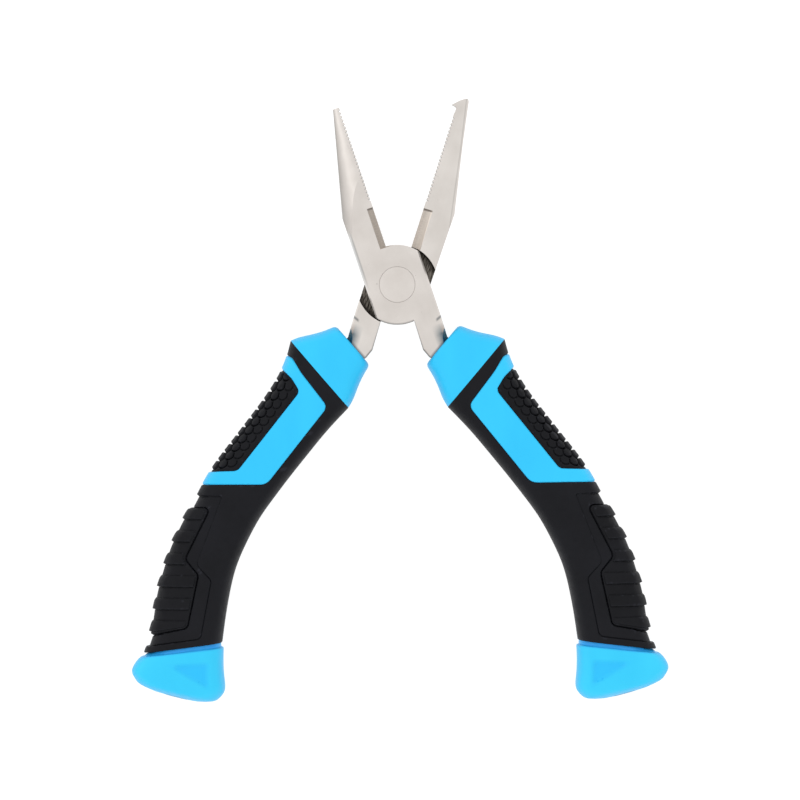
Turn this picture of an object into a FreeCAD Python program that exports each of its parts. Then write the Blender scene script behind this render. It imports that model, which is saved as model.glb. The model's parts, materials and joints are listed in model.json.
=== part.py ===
import FreeCAD, Part
import math
import os

from FreeCAD import Vector

# Compact split-ring fishing pliers, lying on their back, in millimetres.
#
# Origin: on the pivot axis, in the rear face of the joint. +Y runs from the pivot to the jaw tips, +Z out of
# the front face, so the handles point along -Y. The pliers are modelled at their resting opening.
#
# Each half is drawn once in a "closed" frame, where the jaws meet close to the plane x = 0. In that frame the
# front half has its jaw on the left (x < 0) and its handle on the right (x > 0). The rear half is drawn the
# same way and then turned half a turn about the Y axis in the lap plane. Both are swung out by OPEN_ANGLE.

# ---- driving dimensions -------------------------------------------------------------------------------------
OPEN_ANGLE = 18.15  # how far each half is swung out of the closed position, at rest

# joint
JOINT_T = 8.4  # thickness of the closed joint
LAP_Z = JOINT_T / 2  # the plane where the two halves lap, and the mid-plane of the handles
LAP_GAP = 0.02  # each half stands this far off the lap plane
DISC_R = 7.9  # round ends of the lapped plates
SHOULDER_R = 8.15  # where a jaw or tang becomes full thickness, clear of the other half's disc
LEFT_X = -6.15  # jaw-side edge of the lapped plate
RIGHT_X = 6.25  # tang-side edge
EDGE_CHAMFER = 0.3
CHAMFER_TOP_Y = 12.8  # the jaw-side edge is broken up to here, and less far on the hook jaw's half
HOOK_CHAMFER_TOP_Y = 5.0

# pivot rivet: fixed in the rear half, runs in the front half
SHANK_R = 2.5
FRONT_HEAD_R = 3.55
REAR_HEAD_R = 3.0
HEAD_T = 1.8
RUNNING_GAP = 0.03
RIM_CHAMFER = 0.03

# jaws
JAW_TIP_Y = 37.3
FACE_X = 0.3  # the plain jaw's gripping face, and the hook jaw's: they meet just off the centre plane
HOOK_FACE_X = -0.4
CONE_TIP_R = 1.0  # the plain jaw is half of a flattened cone with its axis in the centre plane
CONE_SLOPE = 0.243
CONE_FOOT_Y = 8.3
CONE_FLATTENING = 0.9
TOOTH_PITCH = 0.75
TOOTH_DEPTH = 0.45
TOOTH_MOUTH = 0.8  # share of the pitch taken by the mouth of a tooth groove
TOOTH_FIRST_Y = 17.8
CUTTER_TOP_Y = 16.1
CUTTER_BEVEL = 1.25  # width of the plain jaw's cutter bevel, and of the hook jaw's
HOOK_CUTTER_BEVEL = 1.9
HOOK_TIP = Vector(-2.2, 39.7, 0)
HOOK_POINT = Vector(0.5, 37.6, 0)
HOOK_JAW_TIP_T = 3.2
HOOK_TOOTH_T = 1.8
HOOK_NOTCH_DEPTH = 0.1  # the clear place on the hook jaw's face under its tooth

# tang
TANG_INNER_X = 0.95
TANG_T = 4.2  # the part moulded into the handle
SCOOP_R = 8.0  # ground hollow on the tang's outer edges, just ahead of the handle
SCOOP_DEPTH = 0.9
SCOOP_Y = -14.6

# handle: sections are superellipses between an inner and an outer edge point
SECTION_POWER = 3.0
SECTION_POINTS = 28
COLLAR_TILT = 31.5  # the collar's ends are square to a line leaning this far off the closing plane
COLLAR_MID = -3.35
SKIN_T = 1.7  # thickness of the mouldings over the core
REST_HALF_T = 6.1  # flats on both faces of the handle, which the pliers lie on
COLLAR = [  # (distance down the collar's own axis, half width, half thickness)
    (14.6, 5.15, 5.3),
    (17.0, 5.95, 5.5),
    (19.4, 7.05, 5.85),
    (21.8, 8.3, 6.1),
    (23.4, 8.85, 6.2),
]
GRIP = [  # (inner edge, outer edge, half thickness), from the collar to the end cap
    ((1.8, -26.35), (16.9, -17.1), 6.2),
    ((3.0, -28.8), (16.75, -21.0), 6.15),
    ((4.9, -33.0), (17.95, -27.8), 6.15),
    ((6.9, -38.1), (20.1, -34.3), 6.15),
    ((8.8, -43.1), (22.3, -40.4), 6.15),
    ((10.6, -48.2), (24.3, -46.4), 6.15),
    ((11.95, -52.5), (25.45, -52.1), 6.15),
    ((12.9, -57.3), (26.5, -58.2), 6.15),
    ((13.5, -62.8), (27.2, -64.0), 6.15),
    ((13.35, -67.2), (27.2, -69.4), 6.15),
    ((12.7, -72.4), (26.7, -75.4), 6.1),
    ((12.15, -75.7), (25.9, -80.4), 6.0),
    ((11.6, -78.7), (25.95, -85.4), 5.9),
]
NECK_INSET = 0.55  # the neck between the grip and the end cap
CAP = [
    ((11.05, -79.45), (26.2, -86.3), 5.8),
    ((10.1, -82.6), (26.75, -87.3), 6.1),
    ((8.95, -85.5), (27.1, -88.7), 6.2),
    ((8.2, -87.9), (26.85, -90.0), 6.0),
    ((8.8, -89.6), (25.75, -91.05), 5.2),
    ((10.6, -90.85), (23.7, -91.8), 3.6),
    ((12.6, -91.45), (21.6, -92.05), 1.8),
]
CORE_FRONT_S = 17.5  # where the core starts inside the collar
CORE_END = ((11.0, -81.3), (24.6, -87.6), 5.6)

# the openings of the grip, drawn in plan and cut through both faces; each runs out past the outer edge
INLAY_OUTER = [
    (22.0, -19.4, 0), (15.6, -20.3, 1.2), (12.9, -22.55, 6.0), (5.75, -27.45, 1.5), (12.6, -45.85, 2.6),
    (30.0, -51.3, 0),
]
INLAY_INNER = [
    (22.0, -20.7, 0), (14.4, -24.15, 5.0), (11.95, -26.2, 1.3), (18.95, -45.0, 1.6), (30.0, -48.8, 0),
]
RIB_PAD = [
    (31.0, -56.2, 0), (21.95, -53.6, 0.9), (23.7, -64.9, 1.2), (20.1, -67.1, 1.4), (18.95, -77.9, 1.2),
    (25.6, -81.4, 0.6), (31.0, -82.5, 0),
]
RIB_COUNT = 6
RIB_TILT = -17.5
RIB_RISE = 0.35
RIB_SINK = 0.1  # the rib pad's ground lies this far under the grip's surface
RIB_H = 2.35
RIB_FIRST = (26.3, -56.3)
RIB_LAST = (26.2, -79.8)
DIMPLE = [(20.4, -86.1, 0.6), (12.9, -83.2, 0.6), (11.2, -88.2, 0.6)]
DIMPLE_DEPTH = 0.45

PRISM_Z = (-6.0, 14.0)  # cutting prisms run from below to above everything
HANDLE_MID = Vector(0, 0, LAP_Z)


# ---- small helpers ------------------------------------------------------------------------------------------
def rounded_wire(corners, z):
    """A closed wire through corners (x, y, radius), with an arc of that radius in each corner."""
    edges = []
    count = len(corners)
    starts = []
    ends = []
    for i, (x, y, radius) in enumerate(corners):
        here = Vector(x, y, z)
        before = Vector(corners[i - 1][0], corners[i - 1][1], z)
        after = Vector(corners[(i + 1) % count][0], corners[(i + 1) % count][1], z)
        to_before = (before - here).normalize()
        to_after = (after - here).normalize()
        if radius <= 0:
            starts.append(here)
            ends.append(here)
            continue
        half = to_before.getAngle(to_after) / 2
        reach = radius / math.tan(half)
        start = here + to_before * reach
        end = here + to_after * reach
        middle_way = (to_before + to_after).normalize()
        middle = here + middle_way * (radius / math.sin(half) - radius)
        edges.append((i, Part.Arc(start, middle, end).toShape()))
        starts.append(start)
        ends.append(end)
    arcs = dict(edges)
    ordered = []
    for i in range(count):
        if i in arcs:
            ordered.append(arcs[i])
        ordered.append(Part.LineSegment(ends[i], starts[(i + 1) % count]).toShape())
    return Part.Wire(ordered)


def prism(corners, z_low=PRISM_Z[0], z_high=PRISM_Z[1]):
    """The plan outline of corners (x, y, radius), extruded from z_low to z_high."""
    face = Part.Face(rounded_wire(corners, z_low))
    return face.extrude(Vector(0, 0, z_high - z_low))


def square(points):
    """Plan corners with no rounding."""
    return [(x, y, 0) for x, y in points]


def cylinder(radius, z_low, z_high, x=0.0, y=0.0):
    return Part.makeCylinder(radius, z_high - z_low, Vector(x, y, z_low))


def wedge_y(section, y_low, y_high):
    """A prism along Y with its section given as (x, z) points."""
    points = [Vector(x, y_low, z) for x, z in section]
    wire = Part.makePolygon(points + points[:1])
    return Part.Face(wire).extrude(Vector(0, y_high - y_low, 0))


def collar_station(s, half_width, half_t):
    """The edge points of a collar section, s down the collar's own axis."""
    tilt = math.radians(COLLAR_TILT)

    def place(t):
        return (s * math.sin(tilt) + t * math.cos(tilt), -s * math.cos(tilt) + t * math.sin(tilt))

    return place(COLLAR_MID - half_width), place(COLLAR_MID + half_width), half_t


def section(station, grow=0.0):
    """The closed curve of one handle section, grown outwards all round."""
    inner, outer, half_t = station
    inner = Vector(inner[0], inner[1], LAP_Z)
    outer = Vector(outer[0], outer[1], LAP_Z)
    middle = (inner + outer) * 0.5
    across = (outer - inner).normalize()
    half_w = (outer - inner).Length / 2 + grow
    half_t = half_t + grow
    points = []
    for k in range(SECTION_POINTS):
        turn = 2 * math.pi * k / SECTION_POINTS
        c = math.cos(turn)
        s = math.sin(turn)
        along = math.copysign(abs(c) ** (2 / SECTION_POWER), c) * half_w
        up = math.copysign(abs(s) ** (2 / SECTION_POWER), s) * half_t
        points.append(middle + across * along + Vector(0, 0, up))
    curve = Part.BSplineCurve()
    curve.interpolate(Points=points, PeriodicFlag=True)
    return Part.Wire(curve.toShape())


def skin(stations, grow=0.0):
    """The solid lofted through handle sections."""
    return Part.makeLoft([section(s, grow) for s in stations], True, False)


def clip_flat(shape):
    """Takes off what stands above the flats that the pliers lie on."""
    slab = Part.makeBox(80, 120, 2 * REST_HALF_T, Vector(-20, -110, LAP_Z - REST_HALF_T))
    return shape.common(slab)


def one_solid(shape):
    """The largest solid of a shape."""
    return max(shape.Solids, key=lambda solid: solid.Volume)


# ---- the steel halves ---------------------------------------------------------------------------------------
def plan_outline(jaw_corners, face_x):
    """The plan wire of one steel half: a jaw, the lapped plate with its round ends, and the tang."""
    jaw_base = Vector(face_x, math.sqrt(DISC_R**2 - face_x**2), 0)
    right_top = Vector(RIGHT_X, math.sqrt(DISC_R**2 - RIGHT_X**2), 0)
    tang_root = Vector(TANG_INNER_X, -math.sqrt(DISC_R**2 - TANG_INNER_X**2), 0)
    left_foot = Vector(LEFT_X, -math.sqrt(DISC_R**2 - LEFT_X**2), 0)
    top_mid = Vector(DISC_R * math.sin(math.radians(26)), DISC_R * math.cos(math.radians(26)), 0)
    foot_mid = Vector(-DISC_R * math.sin(math.radians(22)), -DISC_R * math.cos(math.radians(22)), 0)
    outer_tang = [right_top, Vector(RIGHT_X, -9.0, 0), Vector(RIGHT_X - 0.1, -13.0, 0), Vector(7.9, -16.4, 0)]
    inner_tang = [Vector(3.4, -18.0, 0), Vector(1.5, -15.7, 0), Vector(0.8, -13.9, 0), tang_root]
    edges = [Part.Arc(jaw_base, top_mid, right_top).toShape()]
    tang = outer_tang + inner_tang
    for a, b in zip(tang, tang[1:]):
        edges.append(Part.LineSegment(a, b).toShape())
    edges.append(Part.Arc(tang_root, foot_mid, left_foot).toShape())
    jaw = [left_foot] + [Vector(x, y, 0) for x, y in jaw_corners] + [jaw_base]
    for a, b in zip(jaw, jaw[1:]):
        edges.append(Part.LineSegment(a, b).toShape())
    return Part.Wire(edges)


def lapped_blank(jaw_corners, face_x):
    """The blank of a half: full outline in front of the lap plane, shouldered jaw and tang behind it."""
    face = Part.Face(plan_outline(jaw_corners, face_x))
    face.translate(Vector(0, 0, LAP_Z + LAP_GAP))
    front = face.extrude(Vector(0, 0, LAP_Z - LAP_GAP))
    rear = face.extrude(Vector(0, 0, -(LAP_Z + LAP_GAP)))
    rear = rear.cut(cylinder(SHOULDER_R, -1, JOINT_T))
    return front.fuse(rear.Solids)


def hidden_tang():
    """The flat bar that the handle is moulded on, from inside the collar to two thirds down the grip."""
    right = [(7.9, -16.4), (11.9, -24.5), (15.2, -34.0), (18.6, -44.0), (20.3, -54.0)]
    left = [(16.4, -54.6), (14.4, -45.2), (10.4, -35.5), (6.9, -26.0), (3.4, -18.0)]
    edges = []
    for side in (right, left):
        curve = Part.BSplineCurve()
        curve.interpolate(Points=[Vector(x, y, 0) for x, y in side])
        edges.append(curve.toShape())
    tip = Part.Arc(Vector(*right[-1], 0), Vector(18.6, -56.4, 0), Vector(*left[0], 0)).toShape()
    root = Part.LineSegment(Vector(*left[-1], 0), Vector(*right[0], 0)).toShape()
    face = Part.Face(Part.Wire([edges[0], tip, edges[1], root]))
    face.translate(Vector(0, 0, LAP_Z - TANG_T / 2))
    return face.extrude(Vector(0, 0, TANG_T))


def tang_scoops():
    """Ground hollows across the tang's two outer edges."""
    cutters = []
    for side in (1, -1):
        out = Vector(1, 0, side).normalize()
        along = Vector(1, 0, -side).normalize()
        edge = Vector(RIGHT_X, SCOOP_Y, LAP_Z + side * JOINT_T / 2)
        centre = edge + out * (SCOOP_R - SCOOP_DEPTH)
        cutters.append(Part.makeCylinder(SCOOP_R, 20, centre - along * 10, along))
    return cutters


def edge_chamfers(jaw_side_top):
    """Prisms that break the long outer edges of a half, front and rear, up to a height on the jaw side."""
    cutters = []
    c = EDGE_CHAMFER
    for side in (1, -1):
        z = LAP_Z + side * JOINT_T / 2
        left = [(LEFT_X - c, z - side * 2 * c), (LEFT_X - c, z + side * c), (LEFT_X + 2 * c, z + side * c)]
        right = [(RIGHT_X + c, z - side * 2 * c), (RIGHT_X + c, z + side * c), (RIGHT_X - 2 * c, z + side * c)]
        cutters.append(wedge_y(left, -DISC_R, jaw_side_top))
        cutters.append(wedge_y(right, -13.0, 5.5))
    return cutters


def tooth_cutters(face_x, last_y):
    """V grooves across a gripping face; each cutter is a kite with one corner at the root of the groove."""
    cutters = []
    y = TOOTH_FIRST_Y
    half = TOOTH_PITCH * TOOTH_MOUTH / 2
    while y < last_y:
        root = (face_x - TOOTH_DEPTH, y)
        clear = (face_x + TOOTH_DEPTH, y)
        cutters.append(prism(square([root, (face_x, y + half), clear, (face_x, y - half)])))
        y += TOOTH_PITCH
    return cutters


def cutter_bevels(face_x, width):
    """The two bevels that meet in a cutting edge on the lap plane."""
    cutters = []
    for side in (1, -1):
        z = LAP_Z + side * JOINT_T / 2
        corners = [(face_x, LAP_Z), (face_x - width, z), (face_x - width, z + side), (1.5, z + side),
                   (1.5, LAP_Z)]
        cutters.append(wedge_y(corners, DISC_R, CUTTER_TOP_Y))
    return cutters


def plain_jaw_waste():
    """What is ground off the plain jaw to leave half a cone."""
    length = JAW_TIP_Y - CONE_FOOT_Y
    foot_r = CONE_TIP_R + length * CONE_SLOPE
    cone = Part.makeCone(foot_r, CONE_TIP_R, length, Vector(0, CONE_FOOT_Y, LAP_Z), Vector(0, 1, 0))
    tip = Part.makeSphere(CONE_TIP_R * 1.9, Vector(0, JAW_TIP_Y - CONE_TIP_R * 1.6, LAP_Z))
    cone = cone.cut(Part.makeBox(8, 2, 8, Vector(-4, JAW_TIP_Y - CONE_TIP_R * 0.7, LAP_Z - 4)).cut(tip))
    flatten = FreeCAD.Matrix()
    flatten.A33 = CONE_FLATTENING
    flatten.A34 = LAP_Z * (1 - CONE_FLATTENING)
    cone = cone.transformGeometry(flatten)
    block = Part.makeBox(12, length + 4, 14, Vector(-11, CONE_FOOT_Y, LAP_Z - 7))
    return block.cut(cone)


def hook_jaw_waste():
    """What is ground off the hook jaw: both faces taper, and the tooth is thinned from behind."""
    cutters = []
    for side in (1, -1):
        z = LAP_Z + side * JOINT_T / 2
        z_tip = LAP_Z + side * HOOK_JAW_TIP_T / 2
        points = [Vector(-12, SHOULDER_R, z), Vector(-12, HOOK_TIP.y, z_tip), Vector(-12, HOOK_TIP.y + 4, z_tip),
                  Vector(-12, HOOK_TIP.y + 4, z + side * 2), Vector(-12, SHOULDER_R, z + side * 2)]
        face = Part.Face(Part.makePolygon(points + points[:1]))
        cutters.append(face.extrude(Vector(20, 0, 0)))
    z_back = LAP_Z + HOOK_JAW_TIP_T / 2
    z_point = z_back - (HOOK_JAW_TIP_T - HOOK_TOOTH_T)
    tooth = [(-1.1, z_back), (1.2, z_point), (1.2, z_back + 2), (-1.1, z_back + 2)]
    cutters.append(wedge_y(tooth, HOOK_POINT.y - 0.9, HOOK_TIP.y + 2))
    return cutters


def rim_break(radius):
    """The chamfer cutter for the rim of a rivet seat."""
    return Part.makeCone(radius, radius + RIM_CHAMFER, RIM_CHAMFER, Vector(0, 0, JOINT_T - RIM_CHAMFER))


def front_half_steel():
    """The half with the plain jaw, in the closed frame, bored for the rivet with running room."""
    blank = lapped_blank([(LEFT_X, JAW_TIP_Y), (FACE_X, JAW_TIP_Y)], FACE_X)
    body = blank.cut([plain_jaw_waste()] + edge_chamfers(CHAMFER_TOP_Y) + tang_scoops())
    body = body.fuse(hidden_tang())
    body = body.cut(cutter_bevels(FACE_X, CUTTER_BEVEL) + tooth_cutters(FACE_X, JAW_TIP_Y - 0.5))
    bore = cylinder(SHANK_R + RUNNING_GAP, -1, JOINT_T + 1)
    head_r = FRONT_HEAD_R + RUNNING_GAP
    seat = cylinder(head_r, JOINT_T - HEAD_T - RUNNING_GAP, JOINT_T + 1)
    return one_solid(body.cut([bore, seat, rim_break(head_r)])).removeSplitter()


def rear_half_steel():
    """The half with the hooked jaw, drawn like the front half and bored to fit the rivet."""
    notch_x = HOOK_FACE_X - HOOK_NOTCH_DEPTH
    jaw = [
        (-6.5, 13.0),
        (-6.6, 16.9),
        (-6.2, 18.9),
        (-4.05, 30.0),
        (-2.65, 38.2),
        (-2.5, 39.2),
        (HOOK_TIP.x, HOOK_TIP.y),
        (-1.7, 39.55),
        (-0.65, 38.8),
        (HOOK_POINT.x, HOOK_POINT.y),
        (-0.3, 37.47),
        (notch_x, 37.2),
        (notch_x, 36.4),
        (HOOK_FACE_X, 36.05),
    ]
    blank = lapped_blank(jaw, HOOK_FACE_X)
    body = blank.cut(hook_jaw_waste() + edge_chamfers(HOOK_CHAMFER_TOP_Y) + tang_scoops())
    body = body.fuse(hidden_tang())
    body = body.cut(cutter_bevels(HOOK_FACE_X, HOOK_CUTTER_BEVEL) + tooth_cutters(HOOK_FACE_X, 35.8))
    bore = cylinder(SHANK_R, -1, JOINT_T + 1)
    seat = cylinder(REAR_HEAD_R, JOINT_T - HEAD_T, JOINT_T + 1)
    return one_solid(body.cut([bore, seat, rim_break(REAR_HEAD_R)])).removeSplitter()


def pivot_rivet():
    """The rivet in place: a large head in front, a peened head flush with the rear face."""
    shank = cylinder(SHANK_R, 0, JOINT_T)
    front = cylinder(FRONT_HEAD_R, JOINT_T - HEAD_T, JOINT_T)
    rear = cylinder(REAR_HEAD_R, 0, HEAD_T)
    rivet = shank.fuse([front, rear]).removeSplitter()
    rims = [e for e in rivet.Edges if e.Curve.TypeId == "Part::GeomCircle" and rim_of_head(e)]
    return rivet.makeChamfer(RIM_CHAMFER, rims)


def rim_of_head(edge):
    """True for the outer circle of either head's end face."""
    z = edge.Curve.Center.z
    radius = edge.Curve.Radius
    front = abs(z - JOINT_T) < 1e-6 and abs(radius - FRONT_HEAD_R) < 1e-6
    rear = abs(z) < 1e-6 and abs(radius - REAR_HEAD_R) < 1e-6
    return front or rear


# ---- the handle mouldings -----------------------------------------------------------------------------------
def handle_pieces(steel):
    """The seven mouldings of one handle, in the closed frame, around that half's tang."""
    collar_stations = [collar_station(*c) for c in COLLAR]
    core_stations = [collar_station(CORE_FRONT_S, 6.1, 5.6), collar_station(20.5, 6.9, 5.85)]
    core_stations += GRIP[1:] + [CORE_END]
    core_block = skin(core_stations, -SKIN_T)
    grip_block = skin(GRIP)

    inlay_outer = prism(INLAY_OUTER)
    inlay_inner = prism(INLAY_INNER)
    rib_window = prism(RIB_PAD)

    pieces = {}
    pieces["core"] = core_block.cut(steel)
    pieces["collar"] = clip_flat(skin(collar_stations)).cut([core_block, steel])
    pieces["inlay"] = clip_flat(skin(GRIP, 0.12)).common(inlay_outer).cut([inlay_inner, core_block])
    pieces["scale_pad"] = clip_flat(grip_block).common(inlay_inner).cut(core_block)
    pieces["sleeve"] = clip_flat(grip_block).cut([inlay_outer, rib_window, core_block])
    pieces["rib_pad"] = rib_pad(rib_window, core_block)
    pieces["end_cap"] = end_cap(core_block)
    return {name: one_solid(shape) for name, shape in pieces.items()}


def rib_pad(window, core_block):
    """The lower pad: a sunk ground with ribs across it, wrapped round the outer edge."""
    ground = skin(GRIP, -RIB_SINK)
    crest = clip_flat(skin(GRIP, RIB_RISE))
    bars = []
    for k in range(RIB_COUNT):
        share = k / (RIB_COUNT - 1)
        x = RIB_FIRST[0] + (RIB_LAST[0] - RIB_FIRST[0]) * share
        y = RIB_FIRST[1] + (RIB_LAST[1] - RIB_FIRST[1]) * share
        bar = Part.makeBox(16, RIB_H, 20, Vector(-12, -RIB_H / 2, LAP_Z - 10))
        bar.rotate(Vector(0, 0, 0), Vector(0, 0, 1), RIB_TILT)
        bar.translate(Vector(x, y, 0))
        bars.append(bar)
    inner_window = window.common(prism(inset_pad()))
    ribs = crest.common(Part.makeCompound(bars)).common(inner_window)
    return clip_flat(ground).common(window).fuse(ribs.Solids).cut(core_block)


def inset_pad():
    """The rib pad's outline, drawn in from the groove along its inner edge."""
    return [(x + 0.9 if x < 25 else x, y, radius) for x, y, radius in RIB_PAD]


def end_cap(core_block):
    """The flared butt with its neck, and a shallow three-cornered dimple on each face."""
    body = clip_flat(skin(CAP))
    neck = skin([GRIP[-1], CAP[0], CAP[1]], -NECK_INSET)
    above_grip_end = prism(square([(-5, -70.84), (40, -92.0), (40, -110), (-5, -110)]))
    cap = body.fuse(neck.common(above_grip_end))
    dimples = [
        prism(DIMPLE, LAP_Z + REST_HALF_T - DIMPLE_DEPTH, LAP_Z + 9),
        prism(DIMPLE, LAP_Z - 9, LAP_Z - REST_HALF_T + DIMPLE_DEPTH),
    ]
    return cap.cut(dimples + [core_block])


# ---- assembly -----------------------------------------------------------------------------------------------
def place_front(shape):
    """Swings a front-half shape out of the closed frame to rest."""
    placed = shape.copy()
    placed.rotate(Vector(0, 0, 0), Vector(0, 0, 1), OPEN_ANGLE)
    return placed


def place_rear(shape):
    """Turns a drawing over into the rear half, and swings it out to rest."""
    placed = shape.copy()
    placed.rotate(HANDLE_MID, Vector(0, 1, 0), 180)
    placed.rotate(Vector(0, 0, 0), Vector(0, 0, 1), -OPEN_ANGLE)
    return placed


def build():
    front_steel = front_half_steel()
    rear_steel = rear_half_steel()
    nodes = {
        "front_lever": place_front(front_steel),
        "rear_lever": place_rear(rear_steel),
        "pivot_rivet": pivot_rivet(),
    }
    handle = handle_pieces(front_steel)
    for name, shape in handle.items():
        nodes["right_" + name] = place_front(shape)
        nodes["left_" + name] = place_rear(shape)
    return nodes


if __name__ == "__main__":
    os.makedirs("parts", exist_ok=True)
    for name, shape in build().items():
        print(f"{name:18s} solids {len(shape.Solids)} valid {shape.isValid()} volume {shape.Volume:9.2f} mm3")
        shape.exportStep(f"parts/{name}.step")
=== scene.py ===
"""Compact split-ring fishing pliers: the moulded handles in full detail, and the looks of every surface.

The handles are worked out in millimetres in the pliers' closed frame, where the jaws meet near the plane
x = 0 and the right handle lies at x > 0, and are then swung out to rest. The left handle is the right one
turned half a turn about the Y axis in the lap plane.
"""

import json
import math

import bpy
import numpy as np
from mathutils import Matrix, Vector


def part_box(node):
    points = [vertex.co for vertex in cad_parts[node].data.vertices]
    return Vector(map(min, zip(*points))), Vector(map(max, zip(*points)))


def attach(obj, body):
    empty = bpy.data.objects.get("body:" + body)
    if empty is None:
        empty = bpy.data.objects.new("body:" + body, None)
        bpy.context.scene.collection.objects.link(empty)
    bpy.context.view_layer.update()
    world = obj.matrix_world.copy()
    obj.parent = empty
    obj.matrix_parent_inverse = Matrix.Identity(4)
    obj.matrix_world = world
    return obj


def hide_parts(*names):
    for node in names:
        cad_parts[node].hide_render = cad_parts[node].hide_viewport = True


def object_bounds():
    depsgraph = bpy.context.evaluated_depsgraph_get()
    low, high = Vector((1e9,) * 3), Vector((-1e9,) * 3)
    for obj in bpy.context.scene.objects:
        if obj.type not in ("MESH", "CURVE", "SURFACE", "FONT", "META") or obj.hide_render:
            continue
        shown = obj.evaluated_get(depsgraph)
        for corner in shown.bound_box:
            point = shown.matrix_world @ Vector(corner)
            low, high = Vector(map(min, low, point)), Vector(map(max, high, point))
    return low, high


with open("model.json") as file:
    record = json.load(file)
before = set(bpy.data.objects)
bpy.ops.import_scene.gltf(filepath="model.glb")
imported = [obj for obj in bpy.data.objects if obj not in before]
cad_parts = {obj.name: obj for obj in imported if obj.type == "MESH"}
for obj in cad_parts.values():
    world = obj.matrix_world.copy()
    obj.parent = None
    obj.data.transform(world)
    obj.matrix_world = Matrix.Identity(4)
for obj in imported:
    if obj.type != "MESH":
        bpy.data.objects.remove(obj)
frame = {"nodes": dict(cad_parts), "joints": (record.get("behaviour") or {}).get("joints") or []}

CAD_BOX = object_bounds()
MM = 0.001

# ---- sizes that the frame gives ----------------------------------------------------------------------
RIVET_LOW, RIVET_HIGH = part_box("pivot_rivet")
LAP_Z = (RIVET_LOW[2] + RIVET_HIGH[2]) / 2 / MM
FLOOR_Z = CAD_BOX[0][2]
REST_HALF_T = LAP_Z - FLOOR_Z / MM  # the flats on the handles, from the lap plane
OPEN_ANGLE = math.radians(-frame["joints"][0]["range_deg"][0] / 2)

# ---- the handle's shape, as the frame has it ---------------------------------------------------------
SECTION_POWER = 3.0
NOMINAL_SECTION = (7.3, 6.15)  # half width and half thickness that set the spacing round a section
COLLAR_TILT = math.radians(31.5)
COLLAR_MID = -3.35
COLLAR = [  # (distance down the collar's own axis, half width, half thickness)
    (14.6, 5.15, 5.3),
    (17.0, 5.95, 5.5),
    (19.4, 7.05, 5.85),
    (21.8, 8.3, 6.1),
    (23.4, 8.85, 6.2),
]
GRIP = [  # (inner edge, outer edge, half thickness)
    ((1.8, -26.35), (16.9, -17.1), 6.2),
    ((3.0, -28.8), (16.75, -21.0), 6.15),
    ((4.9, -33.0), (17.95, -27.8), 6.15),
    ((6.9, -38.1), (20.1, -34.3), 6.15),
    ((8.8, -43.1), (22.3, -40.4), 6.15),
    ((10.6, -48.2), (24.3, -46.4), 6.15),
    ((11.95, -52.5), (25.45, -52.1), 6.15),
    ((12.9, -57.3), (26.5, -58.2), 6.15),
    ((13.5, -62.8), (27.2, -64.0), 6.15),
    ((13.35, -67.2), (27.2, -69.4), 6.15),
    ((12.7, -72.4), (26.7, -75.4), 6.1),
    ((12.15, -75.7), (25.9, -80.4), 6.0),
    ((11.6, -78.7), (25.95, -85.4), 5.9),
]
CAP = [
    ((11.05, -79.45), (26.2, -86.3), 5.8),
    ((10.1, -82.6), (26.75, -87.3), 6.1),
    ((8.95, -85.5), (27.1, -88.7), 6.2),
    ((8.2, -87.9), (26.85, -90.0), 6.0),
    ((8.8, -89.6), (25.75, -91.05), 5.2),
    ((10.6, -90.85), (23.7, -91.8), 3.6),
    ((12.6, -91.45), (21.6, -92.05), 1.8),
]
INLAY_OUTER = [
    (22.0, -19.4, 0), (15.6, -20.3, 1.2), (12.9, -22.55, 6.0), (5.75, -27.45, 1.5), (12.6, -45.85, 2.6),
    (30.0, -51.3, 0),
]
INLAY_INNER = [
    (22.0, -20.7, 0), (14.4, -24.15, 5.0), (11.95, -26.2, 1.3), (18.95, -45.0, 1.6), (30.0, -48.8, 0),
]
RIB_PAD = [
    (31.0, -56.2, 0), (21.95, -53.6, 0.9), (23.7, -64.9, 1.2), (20.1, -67.1, 1.4), (18.95, -77.9, 1.2),
    (25.6, -81.4, 0.6), (31.0, -82.5, 0),
]
BORDER = [  # the sunk border round the rib pad
    (31.0, -53.5, 0), (20.2, -50.6, 0.5), (20.95, -65.2, 1.2), (17.1, -67.3, 1.4), (15.6, -79.2, 1.3),
    (31.0, -86.4, 0),
]
DIMPLE = [(20.4, -86.1, 0.6), (12.9, -83.2, 0.6), (11.2, -88.2, 0.6)]

# ---- how finely the mouldings are made ---------------------------------------------------------------
SHEET_T = 1.3  # thickness of the open mouldings
EASE_FROM = 5.0  # past this far from the lap plane, heights are eased in by EASE
EASE = 0.66
SNAP = 0.012  # a corner this near to a dividing line is taken to be on it
COLLAR_CELL = 0.45
SLEEVE_CELL = 0.5
INLAY_CELL = 0.4
RIB_CELL = 0.24
SCALE_CELL = 0.105
CAP_CELL = 0.4
SEAM_HALF_W = 0.07  # half the flat bottom of the seam between two mouldings
RIB_SEAM = (0.13, 0.5)  # half width and extra depth of the sharper seam round the rib pad
ROLL_ANGLES = [math.radians(a) for a in (0, 22.5, 45, 67.5, 90)]  # rows of a rounded edge
ARC_STEPS = 10  # in each rounded corner of an outline
FLAT_BLEND = 0.1  # how softly a section turns into its flats
SHARP_ANGLE = math.radians(50)  # edges sharper than this are shaded as edges


# ---- curves and outlines -----------------------------------------------------------------------------
def smooth(x):
    """0 below 0, 1 above 1, and an even S between."""
    x = np.clip(x, 0, 1)
    return x * x * (3 - 2 * x)


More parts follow.
